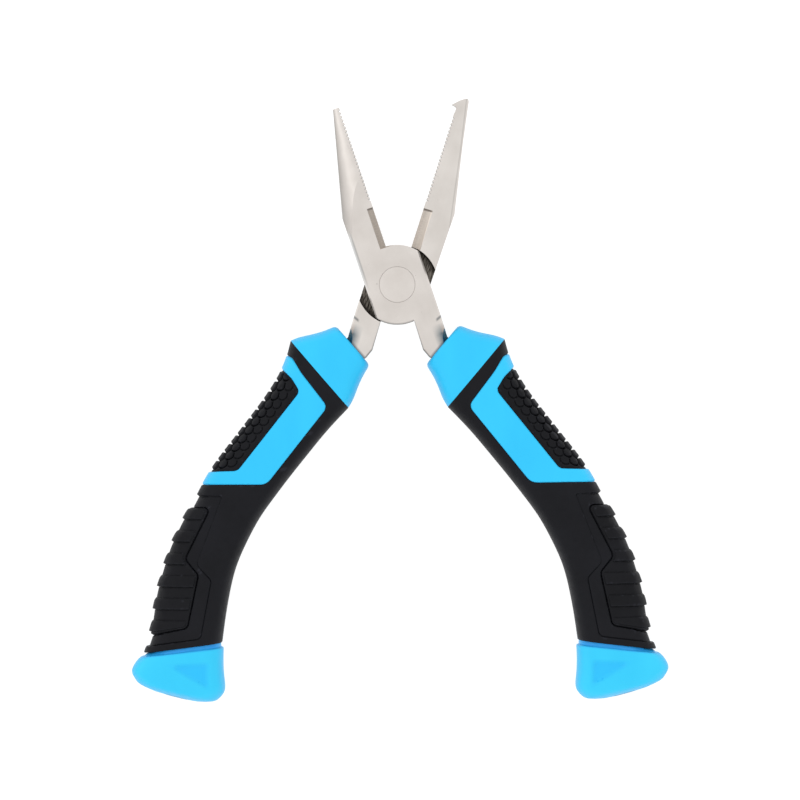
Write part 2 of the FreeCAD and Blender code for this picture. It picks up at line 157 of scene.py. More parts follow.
def rounded_outline(corners):
    """The closed outline through corners (x, y, radius), with an arc of that radius in each corner."""
    points = []
    count = len(corners)
    for i, (x, y, radius) in enumerate(corners):
        here = np.array([x, y])
        before = np.array(corners[i - 1][:2]) - here
        after = np.array(corners[(i + 1) % count][:2]) - here
        before = before / np.hypot(*before)
        after = after / np.hypot(*after)
        if radius <= 0:
            points.append(here)
            continue
        half = math.acos(float(before @ after)) / 2
        middle = (before + after) / np.hypot(*(before + after))
        centre = here + middle * radius / math.sin(half)
        start = here + before * radius / math.tan(half) - centre
        end = here + after * radius / math.tan(half) - centre
        sweep = math.pi - 2 * half
        for k in range(ARC_STEPS + 1):
            share = k / ARC_STEPS
            a = math.sin((1 - share) * sweep) / math.sin(sweep)
            b = math.sin(share * sweep) / math.sin(sweep)
            points.append(centre + start * a + end * b)
    return np.array(points)


def outline_distance(corners):
    """A function that gives how far points lie outside an outline in plan, negative inside."""
    start = rounded_outline(corners)
    step = np.roll(start, -1, axis=0) - start
    length2 = (step**2).sum(1)

    def distance(points):
        nearest = np.full(len(points), np.inf)
        inside = np.zeros(len(points), bool)
        x = points[:, 0]
        y = points[:, 1]
        for (sx, sy), (dx, dy), l2 in zip(start, step, length2):
            share = np.clip(((x - sx) * dx + (y - sy) * dy) / l2, 0, 1)
            nearest = np.minimum(nearest, (x - sx - share * dx) ** 2 + (y - sy - share * dy) ** 2)
            if dy != 0:
                crosses = (sy > y) != (sy + dy > y)
                inside ^= crosses & (x < sx + (y - sy) * dx / dy)
        return np.where(inside, -1, 1) * np.sqrt(nearest)

    return distance


def rolled(distance, radius, seam=SEAM_HALF_W, dip=0.0):
    """How far a rounded edge has dropped, this far in from the middle of its seam."""
    short = np.clip(radius + seam - distance, 0, radius)
    return radius - np.sqrt(radius**2 - short**2) + dip * np.clip(1 - distance / seam, 0, 1)


def collar_stations():
    """The collar's sections, as edge points like those of the grip."""
    down = np.array([math.sin(COLLAR_TILT), -math.cos(COLLAR_TILT)])
    across = np.array([math.cos(COLLAR_TILT), math.sin(COLLAR_TILT)])
    return [
        (down * s + across * (COLLAR_MID - width), down * s + across * (COLLAR_MID + width), half_t)
        for s, width, half_t in COLLAR
    ]


def superellipse(c):
    return np.sign(c) * np.abs(c) ** (2 / SECTION_POWER)


def around_table():
    """Shares of the way round a nominal section, the angle at each, and its girth: 0 is the outer edge."""
    angle = np.linspace(-math.pi, math.pi, 4001)
    x = NOMINAL_SECTION[0] * superellipse(np.cos(angle))
    z = NOMINAL_SECTION[1] * superellipse(np.sin(angle))
    travel = np.concatenate([[0], np.cumsum(np.hypot(np.diff(x), np.diff(z)))])
    return travel / travel[-1] - 0.5, angle, travel[-1]


AROUND, ANGLE, GIRTH = around_table()


class Skin:
    """A smooth tube through handle sections. A place on it is t, in mm along, and w, the share of the way
    round from the outer edge: +0.25 is about the middle of the front and 0.5 the inner edge."""

    def __init__(self, stations):
        self.rows = np.array([[*inner, *outer, half_t] for inner, outer, half_t in stations])
        middle = (self.rows[:, 0:2] + self.rows[:, 2:4]) / 2
        self.knots = np.concatenate([[0], np.cumsum(np.hypot(*np.diff(middle, axis=0).T))])
        self.bends = self.natural_bends()
        self.length = self.knots[-1]

    def natural_bends(self):
        """Second derivatives of the natural cubic spline through the sections."""
        count = len(self.knots)
        gaps = np.diff(self.knots)
        matrix = np.eye(count)
        right = np.zeros_like(self.rows)
        slopes = np.diff(self.rows, axis=0) / gaps[:, None]
        for i in range(1, count - 1):
            matrix[i, i - 1 : i + 2] = gaps[i - 1], 2 * (gaps[i - 1] + gaps[i]), gaps[i]
            right[i] = 6 * (slopes[i] - slopes[i - 1])
        return np.linalg.solve(matrix, right)

    def section(self, t):
        """The values of the sections at t, on the spline."""
        i = np.clip(np.searchsorted(self.knots, t) - 1, 0, len(self.knots) - 2)
        gap = (self.knots[i + 1] - self.knots[i])[:, None]
        b = (t - self.knots[i])[:, None] / gap
        a = 1 - b
        bent = (a**3 - a) * self.bends[i] + (b**3 - b) * self.bends[i + 1]
        return a * self.rows[i] + b * self.rows[i + 1] + bent * gap**2 / 6

    def at(self, t, w, grow):
        """Points on the skin, grown outwards all round."""
        angle = np.interp(w, AROUND, ANGLE)
        values = self.section(t)
        across = (values[:, 2:4] - values[:, 0:2]) / 2
        half_w = np.hypot(across[:, 0], across[:, 1])
        reach = superellipse(np.cos(angle)) * (half_w + grow) / half_w
        plan = (values[:, 0:2] + values[:, 2:4]) / 2 + across * reach[:, None]
        rise = np.abs(superellipse(np.sin(angle))) * (values[:, 4] + grow)
        near = np.clip(FLAT_BLEND - np.abs(rise - REST_HALF_T), 0, None)
        rise = np.minimum(rise, REST_HALF_T) - near**2 / (4 * FLAT_BLEND)
        return np.column_stack([plan, LAP_Z + np.sign(angle) * rise])


class Patch:
    """A triangle mesh laid on a skin, which can be divided along lines of any field."""

    def __init__(self, skin, t, w, grow, faces):
        self.skin = skin
        self.places = np.column_stack([t, w, grow])
        self.faces = faces

    def points(self, places=None):
        places = self.places if places is None else places
        return self.skin.at(places[:, 0], places[:, 1], places[:, 2])

    def divide(self, field, levels):
        """Divides the triangles along the lines where the field has each of these values."""
        for level in levels:
            d = field(self.points()) - level
            d[np.abs(d) < SNAP] = 0
            sign = np.sign(d)
            corner_signs = sign[self.faces]
            crossed = (corner_signs.min(1) < 0) & (corner_signs.max(1) > 0)
            cut = self.faces[crossed]
            if not len(cut):
                continue
            middles = self.edge_middles(cut, d, sign)
            self.faces = np.vstack([self.faces[~crossed]] + divided(cut, middles))

    def edge_middles(self, cut, d, sign):
        """Adds the corners where edges are crossed, and gives each triangle's three, or -1."""
        total = len(self.places)
        a = cut.T.reshape(-1)
        b = np.roll(cut, -1, axis=1).T.reshape(-1)
        across = sign[a] * sign[b] < 0
        low = np.minimum(a, b)[across].astype(np.int64)
        high = np.maximum(a, b)[across].astype(np.int64)
        keys, index = np.unique(low * total + high, return_inverse=True)
        low = keys // total
        high = keys % total
        share = (d[low] / (d[low] - d[high]))[:, None]
        self.places = np.vstack([self.places, self.places[low] * (1 - share) + self.places[high] * share])
        middles = np.full(len(a), -1)
        middles[across] = total + index
        return middles.reshape(3, -1).T

    def keep(self, field):
        """Keeps the triangles whose middles lie where the field is negative."""
        middles = self.points()[self.faces].mean(1)
        self.faces = self.faces[field(middles) < 0]


def divided(cut, middles):
    """The triangles that crossed triangles fall into."""
    pieces = []
    crossings = (middles >= 0).sum(1)
    for k in range(3):
        after = (k + 1) % 3
        last = (k + 2) % 3
        both = (crossings == 2) & (middles[:, k] >= 0) & (middles[:, last] >= 0)
        a, b, c = cut[both, k], cut[both, after], cut[both, last]
        m, q = middles[both, k], middles[both, last]
        pieces += [np.column_stack(f) for f in ((a, m, q), (m, b, c), (m, c, q))]
        one = (crossings == 1) & (middles[:, k] >= 0)
        a, b, c = cut[one, k], cut[one, after], cut[one, last]
        m = middles[one, k]
        pieces += [np.column_stack(f) for f in ((a, m, c), (m, b, c))]
    return pieces


def grid_faces(rows, columns):
    """Triangles over a grid of points, numbered row by row, that face outwards on a skin."""
    r, c = np.meshgrid(np.arange(rows - 1), np.arange(columns - 1), indexing="ij")
    a = (r * columns + c).reshape(-1)
    b, c, d = a + 1, a + columns + 1, a + columns
    return np.vstack([np.column_stack([a, b, c]), np.column_stack([a, c, d])])


def tube_patch(skin, rows, cell):
    """A patch all the way round a skin, with rows at (t, grow)."""
    columns = int(GIRTH / cell) + 1
    rows = np.array(rows)
    w = np.linspace(-0.5, 0.5, columns)
    t = np.repeat(rows[:, 0], columns)
    grow = np.repeat(rows[:, 1], columns)
    return Patch(skin, t, np.tile(w, len(rows)), grow, grid_faces(len(rows), columns))


def side_patch(skin, t_low, t_high, w_reach, cell):
    """A patch round the outer side of a skin, as far as w_reach each way."""
    rows = int((t_high - t_low) / cell) + 1
    columns = int(2 * w_reach * GIRTH / cell) + 1
    t = np.repeat(np.linspace(t_low, t_high, rows), columns)
    w = np.tile(np.linspace(-w_reach, w_reach, columns), rows)
    return Patch(skin, t, w, np.zeros(len(t)), grid_faces(rows, columns))


def spaced(low, high, cell):
    """Row places from low to high, about a cell apart, without the two ends."""
    count = max(2, int((high - low) / cell))
    return list(np.linspace(low, high, count + 1))[1:-1]


# ---- from patches to closed meshes -------------------------------------------------------------------
def weld(points, places, faces):
    """Joins corners that share a place, and drops the faces and corners that are left over."""
    keys = np.round(points * 5000).astype(np.int64)
    _, first, index = np.unique(keys, axis=0, return_index=True, return_inverse=True)
    faces = index.reshape(-1)[faces]
    whole = (faces[:, 0] != faces[:, 1]) & (faces[:, 1] != faces[:, 2]) & (faces[:, 2] != faces[:, 0])
    faces = faces[whole]
    used, faces = np.unique(faces, return_inverse=True)
    return points[first][used], places[first][used], faces.reshape(-1, 3)


def corner_normals(points, faces):
    """Outward directions at the corners, from the faces round them."""
    a, b, c = (points[faces[:, k]] for k in range(3))
    face_normals = np.cross(b - a, c - a)
    total = np.zeros_like(points)
    for k in range(3):
        np.add.at(total, faces[:, k], face_normals)
    return total / np.maximum(np.linalg.norm(total, axis=1), 1e-12)[:, None]


def rim_edges(faces):
    """The directed edges that only one face has."""
    edges = np.vstack([faces[:, [0, 1]], faces[:, [1, 2]], faces[:, [2, 0]]]).astype(np.int64)
    total = edges.max() + 1
    there = edges[:, 0] * total + edges[:, 1]
    back = edges[:, 1] * total + edges[:, 0]
    return edges[~np.isin(there, back)]


def ends_filled(points, faces):
    """Closes each open loop with a fan of faces to its middle."""
    rims = rim_edges(faces)
    following = dict(rims.tolist())
    while following:
        start, here = following.popitem()
        loop = [start, here]
        while here != start and here in following:
            here = following.pop(here)
            loop.append(here)
        loop = loop[:-1]
        middle = len(points)
        points = np.vstack([points, points[loop].mean(0)])
        fan = [(b, a, middle) for a, b in zip(loop, loop[1:] + loop[:1])]
        faces = np.vstack([faces, fan])
    return points, faces


def backed(points, inside, faces):
    """Closes an open patch with the same patch on the points inside it, and walls along its rims."""
    count = len(points)
    a, b = rim_edges(faces).T
    walls = [np.column_stack(w) for w in ((b, a, a + count), (b, a + count, b + count))]
    return np.vstack([points, inside]), np.vstack([faces, faces[:, ::-1] + count] + walls)


def to_rest(points, side):
    """From mm in the closed frame to metres at rest: side is 1 for the right handle, -1 for the left."""
    x = points[:, 0] * side
    z = np.where(side > 0, points[:, 2], 2 * LAP_Z - points[:, 2])
    c = math.cos(OPEN_ANGLE * side)
    s = math.sin(OPEN_ANGLE * side)
    return np.column_stack([x * c - points[:, 1] * s, x * s + points[:, 1] * c, z]) * MM


def add_piece(name, points, faces, material, body, node):
    """Makes a mesh object of a moulding, shaded smooth but for its sharp edges."""
    mesh = bpy.data.meshes.new(name)
    mesh.from_pydata(points.tolist(), [], faces.tolist())
    mesh.validate()
    mesh.shade_smooth()
    mesh.set_sharp_from_angle(angle=SHARP_ANGLE)
    mesh.materials.append(material)
    piece = bpy.data.objects.new(name, mesh)
    bpy.context.scene.collection.objects.link(piece)
    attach(piece, body)
    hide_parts(node)


def settled(z):
    """Heights eased in, so that raised detail stays within the flats that the pliers lie on."""
    high = z - LAP_Z
    over = np.maximum(np.abs(high) - EASE_FROM, 0)
    return LAP_Z + np.sign(high) * (np.minimum(np.abs(high), EASE_FROM) + EASE * over)


def moulding(patch, lift, thickness):
    """The closed mesh of a patch: open ones are backed, and those with no thickness get filled ends."""
    points, places, faces = weld(patch.points(), patch.places, patch.faces)
    if thickness == 0:
        points, faces = ends_filled(points, faces)
        added = len(points) - len(places)
        places = np.vstack([places, np.tile((0, 0.5, 0), (added, 1))])
    normals = corner_normals(points, faces)
    raised = points + normals * lift(points, places)[:, None]
    raised[:, 2] = settled(raised[:, 2])
    if thickness == 0:
        return raised, faces
    inside = patch.skin.at(places[:, 0], places[:, 1], np.full(len(places), -thickness))
    return backed(raised, inside, faces)


# ---- the mouldings of one handle ---------------------------------------------------------------------
COLLAR_SKIN = Skin(collar_stations())
GRIP_SKIN = Skin(GRIP)
CAP_SKIN = Skin(CAP)
from_inlay = outline_distance(INLAY_OUTER)
from_scales = outline_distance(INLAY_INNER)
from_ribs = outline_distance(RIB_PAD)
from_border = outline_distance(BORDER)
from_dimple = outline_distance(DIMPLE)


def rim_rows(t_end, way, radius):
    """Rows (t, grow) that roll an end over, from the end face to the skin."""
    return [(t_end + way * radius * (1 - math.cos(a)), -radius * (1 - math.sin(a))) for a in ROLL_ANGLES]


def tube_rows(length, start_roll, end_roll, cell):
    """Rows (t, grow) along a tube whose ends are rolled over."""
    rows = rim_rows(0, 1, start_roll) + [(t, 0) for t in spaced(start_roll, length - end_roll, cell)]
    return rows + rim_rows(length, -1, end_roll)[::-1]


def edge_levels(radius, sign=1, seam=SEAM_HALF_W):
    """How far in from an outline the rows of its rolled edge lie: sign is -1 for the piece inside it."""
    return [0] + [sign * (seam + radius * (1 - math.cos(a))) for a in ROLL_ANGLES]


def outwards(places, reach):
    """1 on the outer edge of the handle, and 0 from this share of the way round."""
    return np.clip(1 - np.abs(places[:, 1]) / reach, 0, 1)


BUTT_ROLL = 0.12  # radius of the edges where the collar and the sleeve meet


def collar():
    face_roll = 0.75
    rows = tube_rows(COLLAR_SKIN.length, face_roll, BUTT_ROLL, COLLAR_CELL)
    patch = tube_patch(COLLAR_SKIN, rows, COLLAR_CELL)
    return moulding(patch, lambda points, places: np.zeros(len(points)), 0)


def sleeve():
    end_roll = 0.3
    window_roll = 0.28
    rib_roll = 0.26
    border_depth = 0.18
    side_depth = 0.45  # how much deeper the border is on the handle's outer edge
    line_depth = 0.25
    line_at = -0.12  # just inside the border's edge
    line_width = 0.11
    rows = tube_rows(GRIP_SKIN.length, BUTT_ROLL, end_roll, SLEEVE_CELL)
    patch = tube_patch(GRIP_SKIN, rows, SLEEVE_CELL)
    patch.divide(from_inlay, edge_levels(window_roll))
    patch.keep(lambda points: -from_inlay(points))
    patch.divide(from_ribs, edge_levels(rib_roll, seam=RIB_SEAM[0]))
    patch.keep(lambda points: -from_ribs(points))
    patch.divide(from_border, (-0.3, -0.22, -0.14, -0.06, 0.02, 0.1, 0.2))

    def lift(points, places):
        border = from_border(points)
        depth = border_depth + side_depth * smooth(outwards(places, 0.24) * 1.6)
        sunk = depth * smooth((0.02 - border) / 0.22)
        deeper = 0.4 + 0.6 * smooth((-64 - points[:, 1]) / 4)  # the line is fainter towards the joint
        line = line_depth * deeper * np.exp(-(((border - line_at) / line_width) ** 2))
        drop = rolled(from_inlay(points), window_roll) + rolled(from_ribs(points), rib_roll, *RIB_SEAM)
        return -(sunk + line + drop)

    return moulding(patch, lift, SHEET_T)


def inlay():
    roll = 0.25
    proud = 0.06
    patch = side_patch(GRIP_SKIN, 0, 36, 0.46, INLAY_CELL)
    patch.divide(from_inlay, edge_levels(roll, -1))
    patch.keep(from_inlay)
    patch.divide(from_scales, edge_levels(roll))
    patch.keep(lambda points: -from_scales(points))

    def lift(points, places):
        return proud - rolled(-from_inlay(points), roll) - rolled(from_scales(points), roll)

    return moulding(patch, lift, SHEET_T)


SCALE_PITCH = 1.98  # along the handle
SCALE_R = 1.0
SCALE_RISE = 0.5
SCALE_GROUND = 0.34  # the ground between the scales lies this far down
SCALES_START = 4.5  # the first scale is no nearer the collar than this
SIDE_BAR = 3.3  # half the straight length of the bars that wrap round the outer edge
SCALE_COLUMNS = [(0.0, 1.0), (5.2, 1.0), (6.85, 0.65), (8.5, 0.3), (10.1, 0.12)]  # (place round, strength)
SCALE_FREE_WAY = (0.55, 0.83)  # a scale's free edge faces this much along the handle and round it
SCALE_GAP_RISE = 0.14  # how far the floor between scales stands off the ground
SCALE_GROOVE = 0.34


def scale_pad():
    roll = 0.2
    patch = side_patch(GRIP_SKIN, 1.5, 33, 0.36, SCALE_CELL)
    patch.divide(from_scales, edge_levels(roll, -1))
    patch.keep(from_scales)

    def lift(points, places):
        rim = -from_scales(points)
        return scale_relief(places) * smooth((rim - 0.3) / 0.4) - SCALE_GROUND - rolled(rim, roll)

    return moulding(patch, lift, SHEET_T)


def scale_relief(places):
    """Bars across the outer edge, then staggered columns of round fish scales on each side of them.

    Each scale is tilted up to a free edge, towards the butt and the middle of the handle, with a groove
    beyond that edge.
    """
    along = places[:, 0]
    around = np.abs(places[:, 1]) * GIRTH
    raised = np.zeros(len(places))
    grooved = np.zeros(len(places))
    for column, (middle, strength) in enumerate(SCALE_COLUMNS):
        shift = SCALE_PITCH / 2 * (column % 2)
        q = around - middle if column else np.maximum(around - SIDE_BAR, 0)
        nearest = np.round((along - shift) / SCALE_PITCH)
        for step in (-1, 0, 1):
            p = along - shift - (nearest + step) * SCALE_PITCH
            reach = np.hypot(p, q)
            free = SCALE_FREE_WAY[0] * p + SCALE_FREE_WAY[1] * q
            facing = free / np.maximum(reach, 0.1) if column else 0.35
            dome = smooth((SCALE_R - 0.06 - reach) / (0.2 if column else 0.35))
            dome = dome * (along - p > SCALES_START)
            tilt = 0.62 + 0.38 * facing * np.minimum(reach / SCALE_R, 1)
            raised = np.maximum(raised, strength * dome * tilt)
            ring = np.exp(-(((reach - SCALE_R - 0.01) / 0.13) ** 2))
            grooved = np.maximum(grooved, strength * ring * smooth((facing + 0.1) / 0.4))
    return SCALE_RISE * raised + SCALE_GAP_RISE * (1 - raised) - SCALE_GROOVE * grooved * (1 - raised)


RIB_COUNT = 6
RIB_TILT = math.radians(-17.5)
RIB_FIRST = np.array([26.3, -56.3])
RIB_LAST = np.array([26.2, -79.8])
RIB_HALF_H = 1.15
RIB_RISE = 0.5
RIB_SHOULDER = 0.9  # radius of the rounded top edge of a rib


def rib_offset(points, k):
    """How far points in plan lie above the middle line of a rib."""
    middle = RIB_FIRST + (RIB_LAST - RIB_FIRST) * k / (RIB_COUNT - 1)
    up = np.array([-math.sin(RIB_TILT), math.cos(RIB_TILT)])
    return (points[:, :2] - middle) @ up


def rib_pad():
    roll = 0.25
    ground = 0.08
    patch = side_patch(GRIP_SKIN, 33, GRIP_SKIN.length - 0.4, 0.34, RIB_CELL)
    patch.divide(from_ribs, edge_levels(roll, -1, RIB_SEAM[0]) + [-0.43, -0.48, -0.53, -0.58])
    patch.keep(from_ribs)
    for k in range(RIB_COUNT):
        levels = [-RIB_HALF_H + d for d in (-0.14, -0.07, 0, 0.05, 0.1)]
        levels += [RIB_HALF_H + d for d in (-0.9, -0.6, -0.35, -0.15, -0.04, 0)]
        patch.divide(lambda points: rib_offset(points, k), levels)

    def lift(points, places):
        rim = -from_ribs(points)
        relief = np.zeros(len(points))
        for k in range(RIB_COUNT):
            q = rib_offset(points, k)
            shoulder = np.sqrt(1 - (1 - np.clip((RIB_HALF_H - q) / RIB_SHOULDER, 0, 1)) ** 2)
            body = shoulder * smooth((q + RIB_HALF_H) / 0.1)
            under = np.exp(-(((q + RIB_HALF_H + 0.07) / 0.08) ** 2))
            relief += body * (0.85 - 0.15 * q / RIB_HALF_H) - 0.12 * under
        return RIB_RISE * relief * smooth((rim - 0.38) / 0.2) - ground - rolled(rim, roll, *RIB_SEAM)

    return moulding(patch, lift, SHEET_T)


NECK_ROWS = [(-1.3, -0.6), (-0.5, -0.55), (-0.1, -0.5)]  # (t, grow) from the cap's first section
BUTT_ROWS = [(0, 0), (0.1, -0.5), (0.16, -1.0), (0.19, -1.5)]  # (t, grow) from its last


def end_cap():
    lip_roll = 0.25
    skin_from = 0.3
    dimple_depth = 0.8
    length = CAP_SKIN.length
    rows = NECK_ROWS + rim_rows(0, 1, lip_roll) + [(t, 0) for t in spaced(skin_from, length, 0.35)]
    rows += [(length + t, grow) for t, grow in BUTT_ROWS]
    patch = tube_patch(CAP_SKIN, rows, CAP_CELL)
    patch.divide(from_dimple, (-1.0, -0.7, -0.4, -0.1, 0.2, 0.5))

    def lift(points, places):
        face = np.abs(points[:, 2] - LAP_Z) > REST_HALF_T * 0.6
        return -dimple_depth * smooth(0.35 - from_dimple(points) / 1.2) * face

    return moulding(patch, lift, 0)


# ---- materials ---------------------------------------------------------------------------------------
def new_material(name):
    material = bpy.data.materials.new(name)
    material.use_nodes = True
    return material, material.node_tree, material.node_tree.nodes["Principled BSDF"]


def scaled(colour, share):
    return tuple(c * share for c in colour)


def object_place(tree):
    """The object's own coordinates."""
    return tree.nodes.new("ShaderNodeTexCoord").outputs["Object"]


def noise(tree, scale, detail=3.0, stretch=(1, 1, 1), place=None):
    """Noise over a place, or over the object's own coordinates at this many waves a metre."""
    mapping = tree.nodes.new("ShaderNodeMapping")
    mapping.inputs["Scale"].default_value = stretch
    texture = tree.nodes.new("ShaderNodeTexNoise")
    texture.inputs["Scale"].default_value = scale
    texture.inputs["Detail"].default_value = detail
    tree.links.new(object_place(tree) if place is None else place, mapping.inputs["Vector"])
    tree.links.new(mapping.outputs["Vector"], texture.inputs["Vector"])
    return texture.outputs["Fac"]


def ramp(tree, value, low, high, start=0.35, end=0.65):
    """A colour ramp from low to high as the value goes from start to end."""
    node = tree.nodes.new("ShaderNodeValToRGB")
    node.color_ramp.elements[0].position = start
    node.color_ramp.elements[1].position = end
    node.color_ramp.elements[0].color = (*low, 1)
    node.color_ramp.elements[1].color = (*high, 1)
    tree.links.new(value, node.inputs["Fac"])
    return node.outputs["Color"]


def ranged(tree, value, low, high, start=0.3, end=0.7):
    """A number that goes from low to high as the value goes from start to end."""
    node = tree.nodes.new("ShaderNodeMapRange")
    node.inputs["From Min"].default_value = start
    node.inputs["From Max"].default_value = end
    node.inputs["To Min"].default_value = low
    node.inputs["To Max"].default_value = high
    tree.links.new(value, node.inputs["Value"])
    return node.outputs["Result"]


def bump(tree, shader, value, distance, strength, under=None):
    node = tree.nodes.new("ShaderNodeBump")
    node.inputs["Strength"].default_value = strength
    node.inputs["Distance"].default_value = distance
    tree.links.new(value, node.inputs["Height"])
    if under is not None:
        tree.links.new(under, node.inputs["Normal"])
    tree.links.new(node.outputs["Normal"], shader.inputs["Normal"])
    return node.outputs["Normal"]


def mixed(tree, share, low, high):
    """A mix of two colours, or of a colour output and a colour."""
    node = tree.nodes.new("ShaderNodeMix")
    node.data_type = "RGBA"
    tree.links.new(share, node.inputs["Factor"])
    for value, socket in ((low, node.inputs["A"]), (high, node.inputs["B"])):
        if isinstance(value, tuple):
            socket.default_value = (*value, 1)
        else:
            tree.links.new(value, socket)
    return node.outputs["Result"]


def calculated(tree, operation, a, b=0):
    node = tree.nodes.new("ShaderNodeMath")
    node.operation = operation
    for value, socket in ((a, node.inputs[0]), (b, node.inputs[1])):
        if isinstance(value, (int, float)):
            socket.default_value = value
        else:
            tree.links.new(value, socket)
    return node.outputs["Value"]


def multiplied(tree, first, *others):
    for other in others:
        first = calculated(tree, "MULTIPLY", first, other)
    return first


def above(tree, value, limit):
    return calculated(tree, "GREATER_THAN", value, limit)


def below(tree, value, limit):
    return calculated(tree, "LESS_THAN", value, limit)


def distance_from(tree, value, middle):
    return calculated(tree, "ABSOLUTE", calculated(tree, "SUBTRACT", value, middle))


def closed_place(tree, way):
    """A place in mm in the closed frame, and its X, Y and Z: way is 1 for the front half, else -1."""
    mapping = tree.nodes.new("ShaderNodeMapping")
    mapping.inputs["Scale"].default_value = (way / MM, 1 / MM, 1 / MM)
    mapping.inputs["Rotation"].default_value = (0, 0, -OPEN_ANGLE)
    split = tree.nodes.new("ShaderNodeSeparateXYZ")
    tree.links.new(object_place(tree), mapping.inputs["Vector"])
    tree.links.new(mapping.outputs["Vector"], split.inputs["Vector"])
    return mapping.outputs["Vector"], split.outputs["X"], split.outputs["Y"], split.outputs["Z"]


def beyond(tree, x, y, a, b):
    """How far a place in plan lies to the left of the line from a to b."""
    left = np.array([a[1] - b[1], b[0] - a[0]]) / math.dist(a[:2], b[:2])
    reach = calculated(tree, "MULTIPLY", x, float(left[0]))
    reach = calculated(tree, "ADD", reach, calculated(tree, "MULTIPLY", y, float(left[1])))
    return calculated(tree, "SUBTRACT", reach, float(left @ a[:2]))


def levelness(tree):
    """1 where the surface faces straight up or down, 0 where it stands upright."""
    geometry = tree.nodes.new("ShaderNodeNewGeometry")
    facing = tree.nodes.new("ShaderNodeSeparateXYZ")
    tree.links.new(geometry.outputs["Normal"], facing.inputs["Vector"])
    return calculated(tree, "ABSOLUTE", facing.outputs["Z"])


def edge_highlight(tree):
    """1 on convex edges, where a highlight is painted."""
    geometry = tree.nodes.new("ShaderNodeNewGeometry")
    return ranged(tree, geometry.outputs["Pointiness"], 0.0, 1.0, 0.52, 0.6)


def crevices(tree):
    """1 in concave corners, where shade is painted."""
    geometry = tree.nodes.new("ShaderNodeNewGeometry")
    return ranged(tree, geometry.outputs["Pointiness"], 1.0, 0.0, 0.40, 0.49)


def rubber(name, low, high, polish_and_sheen, grain):
    """Soft-touch moulded rubber: a fine matt grain, uneven gloss, a painted highlight on convex edges and
    painted shade in dull grooves.
    """
    material, tree, shader = new_material(name)
    colour = ramp(tree, noise(tree, 120, 4), low, high)
    # Painted highlight: convex edges are made lighter.
    colour = mixed(tree, edge_highlight(tree), colour, scaled(high, 2.2))
    # Painted shade in grooves and concave corners, which are also given less specular reflection.
    groove = crevices(tree)
    colour = mixed(tree, groove, colour, scaled(low, 0.2))
    tree.links.new(colour, shader.inputs["Base Color"])
    tree.links.new(ranged(tree, groove, 0.15, 0.02, 0, 1), shader.inputs["Specular IOR Level"])
    tree.links.new(ranged(tree, noise(tree, 900), polish_and_sheen - 0.06, polish_and_sheen + 0.06), shader.inputs["Roughness"])
    coarse = bump(tree, shader, noise(tree, 1500, 2), 0.00004, 0.5)
    bump(tree, shader, noise(tree, grain, 2), 0.00002, 0.6, under=coarse)
    return material


# Painted shade: darker blues for a cap's dimple and neck, and for the upright sides of the blue pieces.
DIMPLE_SHADE_BLUE = (0.012, 0.53, 0.955)
NECK_SHADE_BLUE = (0.016, 0.33, 0.86)
UPRIGHT_SHADE_BLUE = (0.022, 0.42, 0.80)


def blue_plastic(name, low, high, cap_way=0):
    """Sky-blue satin plastic with faint flow marks, painted shade on upright sides and, on a cap, painted
    shade in the dimple and on the neck.

    cap_way is the way of closed_place for a cap, and 0 for other pieces.
    """
    material, tree, shader = new_material(name)
    colour = ramp(tree, noise(tree, 90, 4, (1, 0.4, 1)), low, high)
    if cap_way:
        x, y = closed_place(tree, cap_way)[1:3]
        # Painted shade in the dimple.
        colour = mixed(tree, dimple_shade_mask(tree, x, y), colour, DIMPLE_SHADE_BLUE)
        # Painted shade on the cap's recessed neck, below the sleeve's end.
        neck = ranged(tree, beyond(tree, x, y, CAP[0][0], CAP[0][1]), 0.0, 0.9, -0.35, 0.1)
        colour = mixed(tree, neck, colour, NECK_SHADE_BLUE)
    # Painted shade on upright sides.
    colour = mixed(tree, ranged(tree, levelness(tree), 0.8, 0.0, 0.15, 0.75), colour, UPRIGHT_SHADE_BLUE)
    tree.links.new(colour, shader.inputs["Base Color"])
    tree.links.new(ranged(tree, noise(tree, 700), 0.40, 0.50), shader.inputs["Roughness"])
    shader.inputs["Specular IOR Level"].default_value = 0.4
    bump(tree, shader, noise(tree, 4200, 2), 0.00001, 0.5)
    return material


def dimple_shade_mask(tree, x, y):
    """1 in the dimple of a cap, where shade is painted, easing to 0 outside it."""
    inward = [beyond(tree, x, y, a, b) for a, b in zip(DIMPLE, DIMPLE[1:] + DIMPLE[:1])]
    return multiplied(tree, *[ranged(tree, reach, 0.0, 1.0, -0.4, 0.8) for reach in inward])


# ---- the steel: places in mm in the closed frame of a half --------------------------------------------
JOINT_END_Y = 7.7  # the round plates of the joint and the tangs lie below this
DISC_R = 7.9
DISC_EDGE_END_X = 0.9  # the round edge of the plate ends here, at the tang
PLATE_EDGE_X = -6.15  # the front plate's chamfered edge, and the chamfer's width
PLATE_CHAMFER = 0.53
CUTTER_TOP_Y = 16.1
TANG_BEND = [(0.8, -13.9), (1.5, -15.7)]  # the tang's inner edge turns outwards, into the collar
JAW_EDGE = [(-6.2, 18.9), (-4.05, 30.0), (-2.65, 38.2)]  # the outer edge of the hooked jaw
COLLAR_FACE_S = COLLAR[0][0]  # along the collar's axis
SCOOP_TOP_Y = -11.25  # where the line of the painted shade at the top of a tang's scoop crosses x = 0, and its slope
SCOOP_TOP_SLOPE = 0.4

